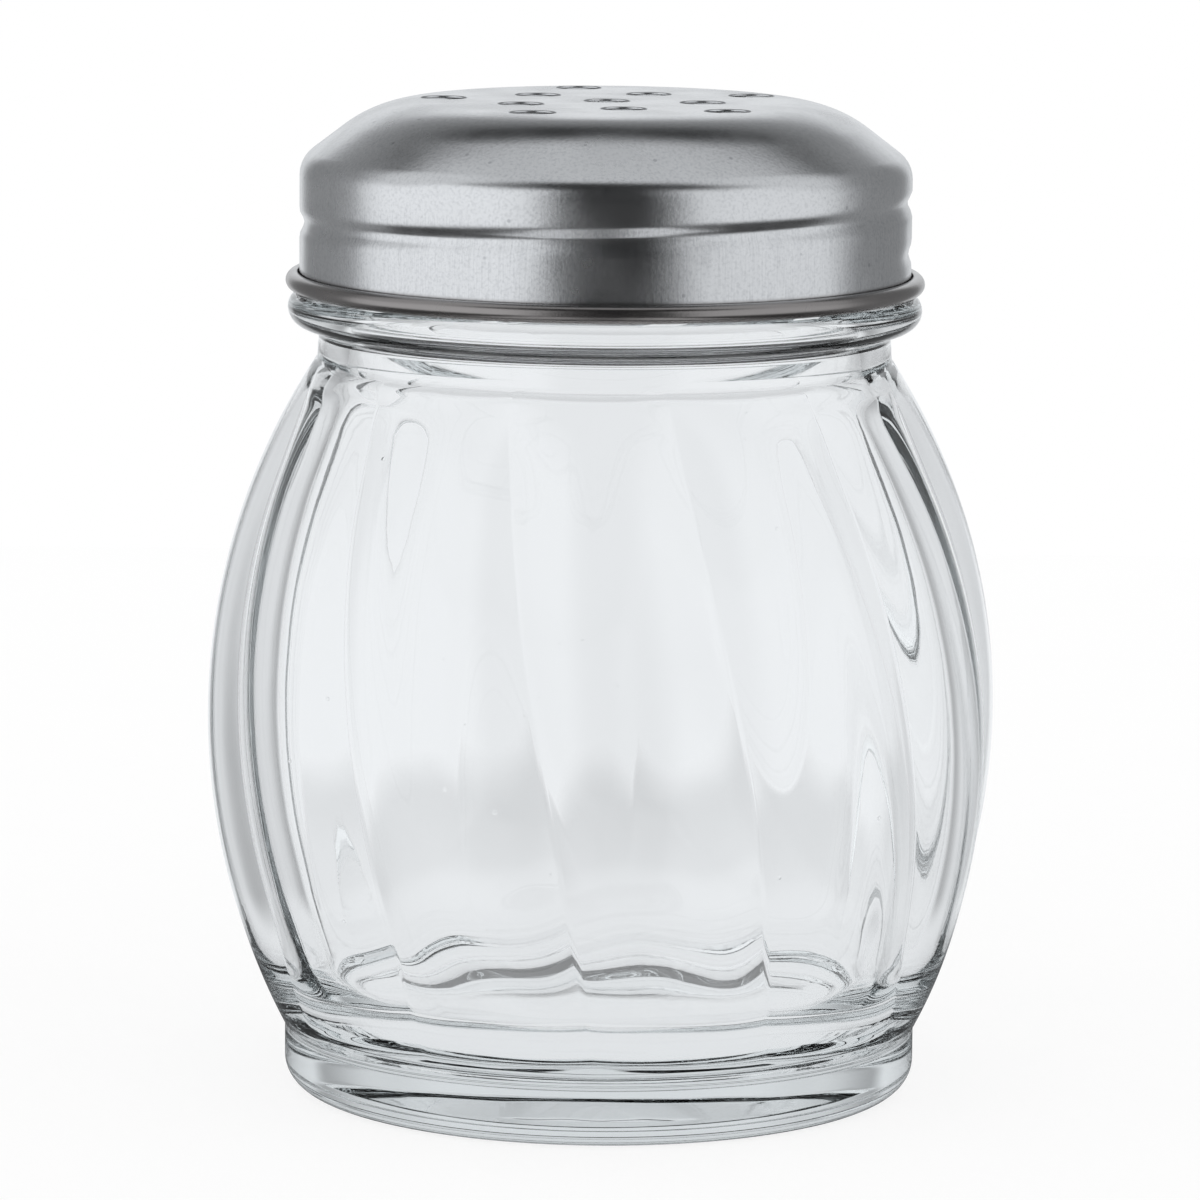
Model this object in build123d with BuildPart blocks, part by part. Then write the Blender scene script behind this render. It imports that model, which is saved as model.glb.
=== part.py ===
"""Parmesan shaker: a lobed glass jar with a perforated screw lid of stainless sheet.

Millimetres. +Z is up and the origin is the centre of the base, on the surface that the jar stands on.
"""
import os
from math import cos, hypot, radians, sin, sqrt, tan

from build123d import *

# ---------------------------------------------------------------- jar, foot and barrel
foot_r = 30.1            # round foot under the barrel
foot_h = 6.4             # height of the foot
toe_round = 2.8          # rounding between the foot's side and the base
bearing_w = 2.6          # width of the flat ring that the jar stands on
push_up = 1.6            # how far the middle of the base is raised

barrel_h = 63.2          # from the foot to the neck
barrel_foot_r = 30.3     # lobe crests where they meet the foot
belly_r = 37.5           # lobe crests at the belly
belly_z = 35.5           # height of the belly
shoulder_step = 0.4      # lobe crests stand this far out of the neck where they meet it

lobe_count = 12
lobe_depth = 1.15        # valley below the crests
lobe_end_depth = 0.12    # what is left of it at the foot and at the neck
lobe_twist = 18.0        # turn of the lobes from the foot up to the neck, degrees
lobe_start = -60.0       # azimuth of a valley at the foot, degrees
lobe_rise = 5.0          # height over which the lobes grow out of the round foot
lobe_fall = 6.0          # height over which they die out below the neck

# ---------------------------------------------------------------- jar, neck and inside
finish_r = 27.4          # glass under the lid, at the root of its thread
finish_h = 19.8          # from the barrel to the rim
finish_wall = 3.5        # glass between the finish and the mouth
waist_step = 0.4         # neck under the bead, inside the finish
rim_round = 1.2          # outer rounding of the rim
mouth_round = 1.0        # inner rounding of the rim
bead_step = 2.55         # transfer bead, outside the finish
bead_h = 3.2             # height of the bead
bead_low_round = 1.75    # its lower and upper rounding
bead_top_round = 1.4

wall = 3.7               # glass between the lobe crests and the inside
floor_t = 6.8            # glass under the inside floor
floor_round = 8.0        # rounding between floor and wall
neck_round = 6.0         # rounding between the inside of the barrel and the neck

# ---------------------------------------------------------------- lid
sheet = 0.4              # stainless sheet
lid_h = 17.85            # from the hem's lowest line to the top
slope_angle = 37.3       # shoulder of the lid, degrees from level
slope_w = 7.4            # its width from the corner at the top to the skirt
top_round = 12.4         # rounding between the flat top and the slope
edge_round = 3.65        # rounding between the slope and the skirt

groove_depth = 0.65      # rolled thread, made as a ring at its mean height
groove_half = 1.9        # half its height
groove_drop = 10.2       # its middle below the top
curl_r = 0.85            # outside of the curled hem
curl_gap = 0.25          # slit between the curl's end and the skirt

hole_r = 2.2
ring_holes = 5           # holes in each ring round the middle one
inner_ring_r = 9.1
inner_ring_start = 64.0  # azimuth of a hole, degrees
outer_ring_in = 5.92     # outer ring, inside the corner of the slope
outer_ring_start = 28.0

# ---------------------------------------------------------------- fits
seat_gap = 0.3           # lid's slope over the glass rim
hem_gap = 0.2            # lid's hem over the transfer bead
skirt_gap = 1.07         # inside of the skirt round the finish, which leaves room for the thread


def circle_through(low, middle, high):
    """Centre and radius of the circle through three (r, z) points."""
    (ax, ay), (bx, by), (cx, cy) = low, middle, high
    span = 2 * (ax * (by - cy) + bx * (cy - ay) + cx * (ay - by))
    a_sq = ax * ax + ay * ay
    b_sq = bx * bx + by * by
    c_sq = cx * cx + cy * cy
    x = (a_sq * (by - cy) + b_sq * (cy - ay) + c_sq * (ay - by)) / span
    y = (a_sq * (cx - bx) + b_sq * (ax - cx) + c_sq * (bx - ax)) / span
    return x, y, hypot(ax - x, ay - y)


# Radii that follow from the finish: the neck, the mouth and the lid go with it.
waist_r = finish_r - waist_step
shoulder_r = waist_r + shoulder_step
bead_r = finish_r + bead_step
mouth_r = finish_r - finish_wall
skirt_r = finish_r + skirt_gap + sheet
top_corner_r = skirt_r - slope_w
outer_ring_r = top_corner_r - outer_ring_in

# The lobe crests follow one circle from the foot over the belly to the neck.
neck_z = foot_h + barrel_h
crest_x, crest_z, crest_arc = circle_through((barrel_foot_r, foot_h), (belly_r, belly_z), (shoulder_r, neck_z))


def crest_r(z):
    """Radius of the lobe crests at a height."""
    return crest_x + sqrt(crest_arc ** 2 - (z - crest_z) ** 2)


def valley_r(z):
    """Radius of the valleys, which almost meet the crests at both ends of the barrel."""
    rise = min(1, (z - foot_h) / lobe_rise)
    fall = min(1, (neck_z - z) / lobe_fall)
    share = sin(radians(90 * rise)) * sin(radians(90 * fall))
    return crest_r(z) - lobe_end_depth - (lobe_depth - lobe_end_depth) * share


def lobe_azimuth(z, lobe):
    """Azimuth of a valley at a height: the lobes turn clockwise on their way up."""
    return lobe_start + lobe * 360 / lobe_count - lobe_twist * (z - foot_h) / barrel_h


def polar(r, azimuth):
    """Point of a horizontal sketch."""
    return r * cos(radians(azimuth)), r * sin(radians(azimuth))


# Heights that follow from the fits: the lid's slope clears the rim's rounding by the seat gap,
# and the bead lies under the hem.
rim_z = neck_z + finish_h
round_r = finish_r - rim_round
round_z = rim_z - rim_round
slope = tan(radians(slope_angle))
slope_over_round = (rim_round + seat_gap + sheet) / cos(radians(slope_angle))
lid_top = round_z + slope_over_round + (round_r - top_corner_r) * slope
edge_corner_z = lid_top - slope_w * slope
hem_z = lid_top - lid_h
bead_top = hem_z - hem_gap
bead_low = bead_top - bead_h


# ---------------------------------------------------------------- glass jar
lobes_full_z = foot_h + lobe_rise
lobes_end_z = neck_z - lobe_fall
section_heights = [
    foot_h,
    foot_h + lobe_rise / 3,
    lobes_full_z,
    (lobes_full_z + belly_z) / 2,
    belly_z,
    (belly_z + lobes_end_z) / 2,
    lobes_end_z,
    neck_z - lobe_fall / 3,
    neck_z,
]

with BuildPart() as barrel:
    for height in section_heights:
        with BuildSketch(Plane.XY.offset(height)):
            with BuildLine():
                for lobe in range(lobe_count):
                    ThreePointArc(
                        polar(valley_r(height), lobe_azimuth(height, lobe)),
                        polar(crest_r(height), lobe_azimuth(height, lobe + 0.5)),
                        polar(valley_r(height), lobe_azimuth(height, lobe + 1)),
                    )
            make_face()
    loft()

# The inside of the barrel is one circle, a wall's thickness inside the crests.
inside_arc = crest_arc - wall
inside_floor_r = crest_x + sqrt(inside_arc ** 2 - (floor_t - crest_z) ** 2)
inside_neck_z = crest_z + sqrt(inside_arc ** 2 - (mouth_r - crest_x) ** 2)

with BuildPart() as inside:
    with BuildSketch(Plane.XZ) as inside_half:
        with BuildLine():
            Polyline((mouth_r, inside_neck_z), (mouth_r, rim_z), (0, rim_z), (0, floor_t), (inside_floor_r, floor_t))
            ThreePointArc((inside_floor_r, floor_t), (crest_x + inside_arc, crest_z), (mouth_r, inside_neck_z))
        make_face()
        fillet(inside_half.vertices().sort_by_distance((inside_floor_r, floor_t))[0], floor_round)
        fillet(inside_half.vertices().sort_by_distance((mouth_r, inside_neck_z))[0], neck_round)
    revolve(axis=Axis.Z)

with BuildPart() as glass_jar:
    # foot, with a rounded toe, a flat bearing ring and a raised base
    bearing_in = foot_r - toe_round - bearing_w
    base_dome = (bearing_in ** 2 + push_up ** 2) / (2 * push_up)
    with BuildSketch(Plane.XZ):
        with BuildLine():
            FilletPolyline((bearing_in, 0), (foot_r, 0), (foot_r, foot_h), radius=toe_round)
            Polyline((foot_r, foot_h), (0, foot_h), (0, push_up))
            RadiusArc((0, push_up), (bearing_in, 0), base_dome)
        make_face()
    revolve(axis=Axis.Z)
    add(barrel.part)
    # neck, transfer bead and finish; the neck starts just inside the valleys
    neck_foot_r = shoulder_r - 2 * lobe_end_depth
    with BuildSketch(Plane.XZ):
        with BuildLine():
            FilletPolyline(
                (0, neck_z),
                (neck_foot_r, neck_z),
                (waist_r, bead_low),
                (bead_r, bead_low),
                (bead_r, bead_top),
                (finish_r, bead_top),
                (finish_r, rim_z),
                (0, rim_z),
                radius=[0, 0, bead_low_round, bead_top_round, 0, rim_round],
            )
            Line((0, rim_z), (0, neck_z))
        make_face()
    revolve(axis=Axis.Z)
    add(inside.part, mode=Mode.SUBTRACT)
    fillet(glass_jar.edges().filter_by(GeomType.CIRCLE).group_by(Axis.Z)[-1].sort_by(Edge.radius)[0], mouth_round)
glass_jar.part.label = "glass_jar"


# ---------------------------------------------------------------- lid
groove_z = lid_top - groove_drop
curl_z = hem_z + curl_r
curl_fold_r = curl_r - sheet

with BuildPart() as lid:
    # The sheet's outer line, from the middle of the top down to the curl, thickened inwards.
    with BuildSketch(Plane.XZ):
        with BuildLine() as sheet_line:
            FilletPolyline(
                (0, lid_top),
                (top_corner_r, lid_top),
                (skirt_r, edge_corner_z),
                (skirt_r, groove_z + groove_half),
                radius=[top_round, edge_round],
            )
            TangentArc(
                (skirt_r, groove_z + groove_half),
                (skirt_r - groove_depth / 2, groove_z + groove_half / 2),
                tangent=(0, -1),
            )
            ThreePointArc(
                (skirt_r - groove_depth / 2, groove_z + groove_half / 2),
                (skirt_r - groove_depth, groove_z),
                (skirt_r - groove_depth / 2, groove_z - groove_half / 2),
            )
            TangentArc(
                (skirt_r, groove_z - groove_half),
                (skirt_r - groove_depth / 2, groove_z - groove_half / 2),
                tangent=(0, 1),
            )
            Line((skirt_r, groove_z - groove_half), (skirt_r, curl_z))
            offset(amount=sheet, side=Side.RIGHT)
        make_face()
        # The hem is curled outwards and up, and stops short of the skirt.
        with Locations((skirt_r + curl_fold_r, curl_z)):
            Circle(curl_r)
            Circle(curl_fold_r, mode=Mode.SUBTRACT)
        with Locations((skirt_r, curl_z)):
            Rectangle(curl_gap, curl_r, align=(Align.MIN, Align.MIN), mode=Mode.SUBTRACT)
    revolve(axis=Axis.Z)
    # one hole in the middle of the top and two rings round it
    with BuildSketch(Plane.XY.offset(lid_top)):
        Circle(hole_r)
        with PolarLocations(inner_ring_r, ring_holes, start_angle=inner_ring_start):
            Circle(hole_r)
        with PolarLocations(outer_ring_r, ring_holes, start_angle=outer_ring_start):
            Circle(hole_r)
    extrude(amount=-lid_h / 2, mode=Mode.SUBTRACT)
lid.part.label = "lid"

os.makedirs("parts", exist_ok=True)
export_step(glass_jar.part, "parts/glass_jar.step")
export_step(lid.part, "parts/lid.step")
print(f"height {lid_top:.2f}, rim {rim_z:.2f}, hem {hem_z:.2f}, bead {bead_low:.2f} to {bead_top:.2f}")
print(f"capacity to the rim {inside.part.volume / 1000:.0f} ml")
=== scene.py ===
"""Scene of a parmesan shaker: a lobed glass jar under a perforated lid of satin stainless sheet.

Metres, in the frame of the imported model: +Z up, the origin at the centre of the base and the viewer on
the -Y side.
"""
import logging
import math
from collections.abc import Callable, Sequence
from dataclasses import dataclass, field
from enum import Enum

import bpy
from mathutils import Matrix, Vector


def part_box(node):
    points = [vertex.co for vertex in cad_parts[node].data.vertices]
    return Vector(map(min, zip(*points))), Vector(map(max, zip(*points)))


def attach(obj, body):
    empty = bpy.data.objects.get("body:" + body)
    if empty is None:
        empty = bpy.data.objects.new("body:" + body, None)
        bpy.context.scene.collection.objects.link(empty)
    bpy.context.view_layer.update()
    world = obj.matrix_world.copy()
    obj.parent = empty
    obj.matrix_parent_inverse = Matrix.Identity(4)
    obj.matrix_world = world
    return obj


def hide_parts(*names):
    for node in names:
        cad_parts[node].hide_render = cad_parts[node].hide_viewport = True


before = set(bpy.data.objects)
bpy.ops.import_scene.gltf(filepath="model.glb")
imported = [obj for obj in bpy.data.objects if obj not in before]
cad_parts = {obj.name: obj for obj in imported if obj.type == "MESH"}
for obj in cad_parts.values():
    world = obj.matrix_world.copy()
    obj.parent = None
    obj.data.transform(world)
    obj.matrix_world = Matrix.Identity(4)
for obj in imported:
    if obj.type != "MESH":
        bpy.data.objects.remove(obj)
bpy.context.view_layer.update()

MM = 0.001
DEGREE = math.pi / 180
SAME_PLACE = 0.001 * MM

Point = tuple[float, float]
Span = tuple[float, float]
Colour = tuple[float, float, float, float]
Socket = bpy.types.NodeSocket
Tree = bpy.types.NodeTree
Value = float | int | str | Sequence[float] | bpy.types.ID | Socket
Inputs = dict[str | int, Value]

log = logging.getLogger("shaker")


# ---------------------------------------------------------------- outlines and threads
def straight(start: Point, end: Point, step: float) -> list[Point]:
    """Points of a straight run.

    Args:
        start: first point, as radius and height.
        end: last point.
        step: greatest distance between two points.

    Returns:
        The points, both ends included.
    """
    count = max(1, math.ceil(math.dist(start, end) / step))
    return [
        (start[0] + (end[0] - start[0]) * i / count, start[1] + (end[1] - start[1]) * i / count)
        for i in range(count + 1)
    ]


def arc(centre: Point, radius: float, start: float, end: float, step: float) -> list[Point]:
    """Points of a round run.

    Args:
        centre: centre of the circle, as radius and height.
        radius: its radius.
        start: angle of the first point in degrees, from level outwards, anticlockwise.
        end: angle of the last point.
        step: greatest distance between two points.

    Returns:
        The points, both ends included.
    """
    count = max(2, math.ceil(abs(end - start) * DEGREE * radius / step))
    angles = [(start + (end - start) * i / count) * DEGREE for i in range(count + 1)]
    return [(centre[0] + radius * math.cos(a), centre[1] + radius * math.sin(a)) for a in angles]


@dataclass
class Outline:
    """Half section of a turned piece, from one point on the axis to another.

    Each point carries named shares from 0 to 1, which say how much of a feature the surface has there.
    """

    names: tuple[str, ...]
    points: list[Point] = field(default_factory=list)
    shares: list[tuple[float, ...]] = field(default_factory=list)

    def add(self, points: Sequence[Point], **shares: float | Callable[[Point], float]) -> None:
        """Adds a run of points.

        Args:
            points: the run, whose first point may repeat the last one that was added.
            shares: a number, or a function of the point, for each share that isn't 0.
        """
        for point in points:
            if self.points and math.dist(point, self.points[-1]) < SAME_PLACE:
                continue
            found = [shares.get(name, 0.0) for name in self.names]
            self.points.append(point)
            self.shares.append(tuple(s(point) if callable(s) else s for s in found))

    def to_object(self, name: str) -> bpy.types.Object:
        """Makes a wire object of the outline in the XZ plane.

        Args:
            name: name of the object and its mesh.

        Returns:
            The object, linked to the scene.
        """
        mesh = bpy.data.meshes.new(name)
        edges = [(i, i + 1) for i in range(len(self.points) - 1)]
        mesh.from_pydata([(r, 0.0, z) for r, z in self.points], edges, [])
        for column, share in enumerate(self.names):
            attribute = mesh.attributes.new(share, "FLOAT", "POINT")
            attribute.data.foreach_set("value", [row[column] for row in self.shares])
        made = bpy.data.objects.new(name, mesh)
        bpy.context.scene.collection.objects.link(made)
        return made


@dataclass(frozen=True)
class Helix:
    """A right-hand helical rib or groove, of up to two turns round the Z axis.

    It starts at an azimuth and a height, has a flank above and below its crest, and grows and dies out over
    a run-out, which is a share of a turn.
    """

    start: float = 0.0
    low: float = 0.0
    pitch: float = 1.0
    turns: float = 1.0
    above: float = 1.0
    below: float = 1.0
    run_out: float = 0.1

    def inputs(self) -> Inputs:
        """Its sizes, under the names that the node trees give them.

        Returns:
            The sizes by name.
        """
        return {
            "Start Azimuth": self.start,
            "Start Height": self.low,
            "Pitch": self.pitch,
            "Turns": self.turns,
            "Flank Above": self.above,
            "Flank Below": self.below,
            "Run Out": self.run_out,
        }


# ---------------------------------------------------------------- node trees
class Graph:
    """A node tree in the making, with short calls for what the trees here are made of."""

    def __init__(self, tree: Tree) -> None:
        """Takes the tree to fill."""
        self.tree = tree

    def feed(self, socket: Socket, value: Value) -> None:
        """Links a socket to another one, or sets its own value.

        Args:
            socket: the socket to feed.
            value: the socket or the value that it takes.
        """
        if isinstance(value, Socket):
            self.tree.links.new(value, socket)
        else:
            socket.default_value = value

    def node(self, kind: str, inputs: Inputs | None = None, **settings: Value) -> bpy.types.Node:
        """Adds a node.

        Args:
            kind: the node's type.
            inputs: value or source of each input, by name or number.
            settings: the node's properties.

        Returns:
            The node.
        """
        made = self.tree.nodes.new(kind)
        for name, value in settings.items():
            setattr(made, name, value)
        for key, value in (inputs or {}).items():
            self.feed(made.inputs[key], value)
        return made

    def math(self, operation: str, *values: Value) -> Socket:
        """Adds a Math node.

        Args:
            operation: what it does.
            values: its inputs in order.

        Returns:
            Its output.
        """
        return self.node("ShaderNodeMath", dict(enumerate(values)), operation=operation).outputs[0]

    def ramp(self, value: Value, low: Value, high: Value, start: Value = 0.0, end: Value = 1.0) -> Socket:
        """Maps a value smoothly from one range to another.

        Args:
            value: what is mapped.
            low: where the result is start.
            high: where the result is end.
            start: result at and below low.
            end: result at and above high.

        Returns:
            The mapped value.
        """
        inputs = {"Value": value, "From Min": low, "From Max": high, "To Min": start, "To Max": end}
        return self.node("ShaderNodeMapRange", inputs, interpolation_type="SMOOTHSTEP").outputs["Result"]

    def mix(self, share: Value, first: Value, second: Value) -> Socket:
        """Goes from one number to another by a share."""
        return self.node("ShaderNodeMix", {"Factor": share, "A": first, "B": second}).outputs[0]

    def blend(self, share: Value, first: Value, second: Value) -> Socket:
        """Goes from one colour to another. Their sockets come after those for numbers and vectors."""
        inputs = {"Factor": share, 6: first, 7: second}
        return self.node("ShaderNodeMix", inputs, data_type="RGBA").outputs[2]

    def noise(self, vector: Value, size: float, detail: float) -> Socket:
        """Adds noise with features of about a size."""
        inputs = {"Vector": vector, "Scale": 1 / size, "Detail": detail}
        return self.node("ShaderNodeTexNoise", inputs).outputs["Fac"]

    def group(self, tree: Tree, inputs: Inputs) -> Sequence[Socket]:
        """Places a node group.

        Args:
            tree: the group.
            inputs: value or source of each of its inputs.

        Returns:
            Its outputs.
        """
        kind = "GeometryNodeGroup" if tree.bl_idname == "GeometryNodeTree" else "ShaderNodeGroup"
        return self.node(kind, inputs, node_tree=tree).outputs


class Group(Graph):
    """A node group with named inputs and outputs."""

    def __init__(self, name: str, kind: str, inputs: Inputs, outputs: Sequence[str]) -> None:
        """Makes the group and its sockets.

        Args:
            name: name of the group.
            kind: GeometryNodeTree or ShaderNodeTree.
            inputs: default value of each input, or the name of its socket type.
            outputs: names of the outputs. Mesh is geometry and the rest are numbers.
        """
        super().__init__(bpy.data.node_groups.new(name, kind))
        for socket, value in inputs.items():
            self._socket(socket, "INPUT", value)
        for socket in outputs:
            self._socket(socket, "OUTPUT", "NodeSocketGeometry" if socket == "Mesh" else "NodeSocketFloat")
        self.given = self.node("NodeGroupInput").outputs
        self.result = self.node("NodeGroupOutput").inputs

    def _socket(self, name: str, way: str, value: Value) -> None:
        """Adds one socket, whose type follows from its default value unless it is named.

        Args:
            name: name of the socket.
            way: INPUT or OUTPUT.
            value: its default value or its type's name.
        """
        if isinstance(value, str):
            self.tree.interface.new_socket(name, in_out=way, socket_type=value)
            return
        kinds = {int: "NodeSocketInt", float: "NodeSocketFloat"}
        kind = kinds.get(type(value), "NodeSocketVector")
        self.tree.interface.new_socket(name, in_out=way, socket_type=kind).default_value = value

    def named(self, name: str) -> Socket:
        """Reads a named attribute of the geometry."""
        return self.node("GeometryNodeInputNamedAttribute", {"Name": name}).outputs["Attribute"]

    def keep(self, geometry: Value, name: str, value: Value) -> Socket:
        """Stores a value as a named attribute of the geometry's points."""
        inputs = {"Geometry": geometry, "Name": name, "Value": value}
        return self.node("GeometryNodeStoreNamedAttribute", inputs).outputs["Geometry"]

    def round_about(self, radius: Value, azimuth: Value, height: Value) -> Socket:
        """Turns a place round the Z axis into a position.

        Args:
            radius: distance from the axis.
            azimuth: angle round it.
            height: height along it.

        Returns:
            The position.
        """
        x = self.math("MULTIPLY", radius, self.math("COSINE", azimuth))
        y = self.math("MULTIPLY", radius, self.math("SINE", azimuth))
        return self.node("ShaderNodeCombineXYZ", {"X": x, "Y": y, "Z": height}).outputs[0]

    def turned(self, outline: Value, segments: Value) -> Socket:
        """Turns an outline round the Z axis."""
        return self.group(TURNED_BODY, {"Outline": outline, "Segments": segments})["Mesh"]

    def placed(self, mesh: Value, position: Value) -> Socket:
        """Moves the points of a mesh."""
        inputs = {"Geometry": mesh, "Position": position}
        return self.node("GeometryNodeSetPosition", inputs).outputs["Geometry"]

    def helix(self, shape: Helix) -> Socket:
        """Gives the share of a helix, whose sizes are this group's own inputs."""
        return self.group(HELICAL_BAND, {name: self.given[name] for name in shape.inputs()})["Share"]

    def dress(self, mesh: Value) -> None:
        """Ends the tree of a piece: smooth, with nothing left as an instance, and in its material.

        Args:
            mesh: the finished shape.
        """
        smooth = self.node("GeometryNodeSetShadeSmooth", {"Geometry": mesh}).outputs["Geometry"]
        real = self.node("GeometryNodeRealizeInstances", {"Geometry": smooth}).outputs["Geometry"]
        inputs = {"Geometry": real, "Material": self.given["Material"]}
        self.feed(self.result["Mesh"], self.node("GeometryNodeSetMaterial", inputs).outputs["Geometry"])


def turned_body() -> Tree:
    """Geometry group that turns an outline round the Z axis and closes it at the poles.

    The points keep their reach from the axis, height and azimuth as attributes, for the features that are
    pressed in later.

    Returns:
        The group.
    """
    g = Group("turned body", "GeometryNodeTree", {"Outline": "NodeSocketGeometry", "Segments": 64}, ["Mesh"])
    place = g.node("ShaderNodeSeparateXYZ", {0: g.node("GeometryNodeInputPosition").outputs[0]}).outputs
    outline = g.node("GeometryNodeMeshToCurve", {"Mesh": g.given["Outline"]}).outputs["Curve"]
    outline = g.keep(outline, "reach", place["X"])
    outline = g.keep(outline, "height", place["Z"])
    circle = g.node("GeometryNodeCurvePrimitiveCircle", {"Resolution": g.given["Segments"]}).outputs["Curve"]
    turn = g.math("DIVIDE", g.node("GeometryNodeInputIndex").outputs[0], g.given["Segments"])
    circle = g.keep(circle, "azimuth", g.math("MULTIPLY", turn, math.tau))
    swept = g.node("GeometryNodeCurveToMesh", {"Curve": circle, "Profile Curve": outline}).outputs["Mesh"]
    placed = g.placed(swept, g.round_about(g.named("reach"), g.named("azimuth"), g.named("height")))
    poles = {"Geometry": placed, "Distance": SAME_PLACE}
    closed = g.node("GeometryNodeMergeByDistance", poles).outputs["Geometry"]
    g.feed(g.result["Mesh"], g.node("GeometryNodeFlipFaces", {"Mesh": closed}).outputs["Mesh"])
    return g.tree


def helical_band() -> Tree:
    """Geometry group that gives the share of a helix at each point.

    Returns:
        The group.
    """
    g = Group("helical band", "GeometryNodeTree", Helix().inputs(), ["Share"])
    passed = g.math("WRAP", g.math("SUBTRACT", g.named("azimuth"), g.given["Start Azimuth"]), math.tau, 0.0)
    first = g.math("DIVIDE", passed, math.tau)
    share = 0.0
    for turn in range(2):
        along = g.math("ADD", first, float(turn))
        centre = g.math("MULTIPLY_ADD", along, g.given["Pitch"], g.given["Start Height"])
        off = g.math("SUBTRACT", g.named("height"), centre)
        above = g.math("DIVIDE", off, g.given["Flank Above"])
        below = g.math("DIVIDE", off, g.math("MULTIPLY", g.given["Flank Below"], -1.0))
        side = g.math("MINIMUM", g.math("MAXIMUM", above, below), 1.0)
        swell = g.math("MULTIPLY_ADD", g.math("COSINE", g.math("MULTIPLY", side, math.pi)), 0.5, 0.5)
        rise = g.ramp(along, 0.0, g.given["Run Out"])
        fade = g.math("SUBTRACT", g.given["Turns"], g.given["Run Out"])
        fall = g.ramp(along, fade, g.given["Turns"], 1.0, 0.0)
        share = g.math("MAXIMUM", share, g.math("MULTIPLY", swell, g.math("MULTIPLY", rise, fall)))
    g.feed(g.result["Share"], share)
    return g.tree


TURNED_BODY = turned_body()
HELICAL_BAND = helical_band()


def bake(wire: bpy.types.Object, tree: Tree, values: Inputs) -> bpy.types.Object:
    """Runs a geometry tree on a wire object and keeps the result as the object's plain mesh.

    Args:
        wire: the object that carries the outline.
        tree: the tree to run.
        values: the tree's inputs by name.

    Returns:
        The same object, with the finished mesh and no modifier.
    """
    modifier = wire.modifiers.new(tree.name, "NODES")
    modifier.node_group = tree
    sockets = {s.name: s.identifier for s in tree.interface.items_tree if getattr(s, "in_out", "") == "INPUT"}
    for name, value in values.items():
        modifier[sockets[name]] = value
    graph = bpy.context.evaluated_depsgraph_get()
    mesh = bpy.data.meshes.new_from_object(wire.evaluated_get(graph), depsgraph=graph)
    outline = wire.data
    wire.modifiers.remove(modifier)
    wire.data = mesh
    mesh.name = wire.name
    bpy.data.meshes.remove(outline)
    return wire


# ---------------------------------------------------------------- finishes
def flecks() -> Tree:
    """Shader group that scatters small soft specks, as marks on the sheet and as seeds in the glass.

    Returns:
        The group.
    """
    inputs = {"Vector": (0.0, 0.0, 0.0), "Spacing": 3.0 * MM, "Size": 0.12, "Share": 0.3}
    g = Group("flecks", "ShaderNodeTree", inputs, ["Mask"])
    scale = g.math("DIVIDE", 1.0, g.given["Spacing"])
    cells = g.node("ShaderNodeTexVoronoi", {"Vector": g.given["Vector"], "Scale": scale}).outputs
    core = g.math("MULTIPLY", g.given["Size"], 0.5)
    spot = g.ramp(cells["Distance"], core, g.given["Size"], 1.0, 0.0)
    lot = g.node("ShaderNodeSeparateColor", {0: cells["Color"]}).outputs[0]
    g.feed(g.result["Mask"], g.math("MULTIPLY", spot, g.math("LESS_THAN", lot, g.given["Share"])))
    return g.tree


FLECKS = flecks()


def new_material(name: str) -> tuple[bpy.types.Material, Graph, bpy.types.Node]:
    """Starts a material.

    Args:
        name: name of the material.

    Returns:
        The material, its graph with nothing but an output in it, and that output node.
    """
    made = bpy.data.materials.new(name)
    made.use_nodes = True
    made.node_tree.nodes.clear()
    graph = Graph(made.node_tree)
    return made, graph, graph.node("ShaderNodeOutputMaterial")


@dataclass(frozen=True)
class ClearGlass:
    """Fire-polished soda-lime glass, with a faint cool grey in its thick parts."""

    refraction: float = 1.517
    tint: Colour = (0.32, 0.425, 0.45, 1.0)
    tint_density: float = 5.0
    wave_size: float = 9.0 * MM
    wave_depth: float = 0.035 * MM
    seed_spacing: float = 5.0 * MM
    seed_size: float = 0.05
    seed_depth: float = 0.04 * MM
    smudge_size: float = 18.0 * MM
    smudge_edge: Span = (0.45, 0.75)
    haze: float = 0.012

    def material(self) -> bpy.types.Material:
        """Builds the glass, which lets shadow rays through so that the jar isn't black inside.

        Returns:
            The material.
        """
        made, g, output = new_material("clear_glass")
        place = g.node("ShaderNodeTexCoord").outputs["Object"]
        spread = {"Vector": place, "Spacing": self.seed_spacing, "Size": self.seed_size}
        seeds = g.math("MULTIPLY", g.group(FLECKS, spread)["Mask"], self.seed_depth)
        relief = g.math("MULTIPLY_ADD", g.noise(place, self.wave_size, 1.5), self.wave_depth, seeds)
        smudge = g.noise(place, self.smudge_size, 3.0)
        glass = g.node(
            "ShaderNodeBsdfPrincipled",
            {
                "Base Color": (1.0, 1.0, 1.0, 1.0),
                "Metallic": 0.0,
                "Transmission Weight": 1.0,
                "IOR": self.refraction,
                "Roughness": g.ramp(smudge, *self.smudge_edge, 0.0, self.haze),
                "Normal": g.node("ShaderNodeBump", {"Height": relief, "Distance": 1.0}).outputs["Normal"],
            },
        )
        clear = g.node("ShaderNodeBsdfTransparent")
        shadow = g.node("ShaderNodeLightPath").outputs["Is Shadow Ray"]
        mixed = g.node("ShaderNodeMixShader", {0: shadow, 1: glass.outputs[0], 2: clear.outputs[0]})
        g.feed(output.inputs["Surface"], mixed.outputs[0])
        depth = g.node("ShaderNodeVolumeAbsorption", {"Color": self.tint, "Density": self.tint_density})
        g.feed(output.inputs["Volume"], depth.outputs[0])
        return made


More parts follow.
